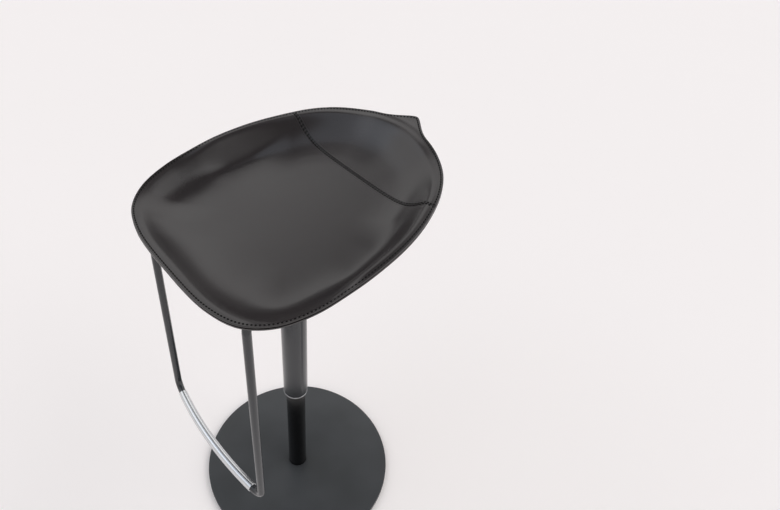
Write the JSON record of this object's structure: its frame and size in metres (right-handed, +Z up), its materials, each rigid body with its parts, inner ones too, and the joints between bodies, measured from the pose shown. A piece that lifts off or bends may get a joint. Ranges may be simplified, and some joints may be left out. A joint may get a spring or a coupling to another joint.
{
  "type": "saddle stool",
  "caption": "Height-adjustable swivel stool with a stitched hide saddle seat, a telescopic gas column, a hung rod footrest and a round disc base.",
  "frame": {"origin": "on the column's axis, at the underside of the base pad", "axes": "+Z up along the column, +Y towards the seat's raised beak, +X to the right of someone who looks along +Y"},
  "size_m": [0.4422, 0.4945, 0.8283],
  "materials": {
    "pad": "matt anti-slip pad",
    "graphite": "dark graphite powder coat",
    "black_gloss": "black gloss lacquer",
    "grey_satin": "satin grey metallic",
    "chrome": "bright chrome",
    "brushed": "brushed along its length",
    "steel": "black oxide steel",
    "zinc": "zinc plated",
    "nylon": "black moulded nylon",
    "shell": "black moulded shell",
    "hide": "thick smooth anthracite hide, sewn at the rim"
  },
  "bodies": {
    "base": {"base_pad": "pad", "base_plate": "graphite", "base_bolt": "zinc", "base_washer": "zinc", "foot_plug": "steel", "lower_column": "black_gloss", "column_bush": "nylon", "thrust_seat": "steel", "bearing_lower_race": "steel", "bearing_balls": "steel"},
    "piston": {"bearing_upper_race": "steel", "gas_rod": "chrome", "rod_clip": "steel", "gas_piston": "nylon"},
    "seat": {"gas_cylinder": "black_gloss", "cylinder_gland": "nylon", "mouth_ring": "brushed", "tube_guide": "nylon", "upper_tube": "grey_satin", "hub_socket": "steel", "tube_screw_right": "zinc", "tube_screw_left": "zinc", "mounting_plate": "steel", "lever_pivot_pin": "zinc", "pivot_clip": "zinc", "footrest_frame": "grey_satin", "footrest_sleeve": "brushed", "footrest_clamp_front": "steel", "footrest_clamp_rear": "steel", "clamp_screw_front_right": "zinc", "clamp_screw_front_left": "zinc", "clamp_screw_rear_right": "zinc", "clamp_screw_rear_left": "zinc", "seat_panel_front": "hide", "seat_panel_back": "hide", "seat_core": "shell", "seat_underside": "hide", "seat_screw_front_right": "zinc", "seat_screw_front_left": "zinc", "seat_screw_rear_right": "zinc", "seat_screw_rear_left": "zinc"},
    "lever": {"lift_lever": "steel", "lever_grip": "nylon"},
    "pin": {"release_pin": "nylon"}
  },
  "joints": [
    {"name": "seat_swivel", "type": "hinge", "parent": "base", "child": "piston", "pos_m": [0, 0, 0.07], "axis": [0, 0, 1], "continuous": true},
    {"name": "height_slide", "type": "slide", "parent": "piston", "child": "seat", "axis": [0, 0, 1], "range_m": [-0.235, 0]},
    {"name": "lever_pull", "type": "hinge", "parent": "seat", "child": "lever", "pos_m": [-0.025, 0, 0.702], "axis": [0, 1, 0], "range_deg": [0, 7], "stiffness_Nm_per_rad": 5, "springref_deg": -2.86},
    {"name": "pin_press", "type": "slide", "parent": "seat", "child": "pin", "axis": [0, 0, -1], "range_m": [0, 0.0035]}
  ],
  "couplings": [
    {"joint": "pin_press", "follows": "lever_pull", "m_per_rad": 0.025}
  ]
}
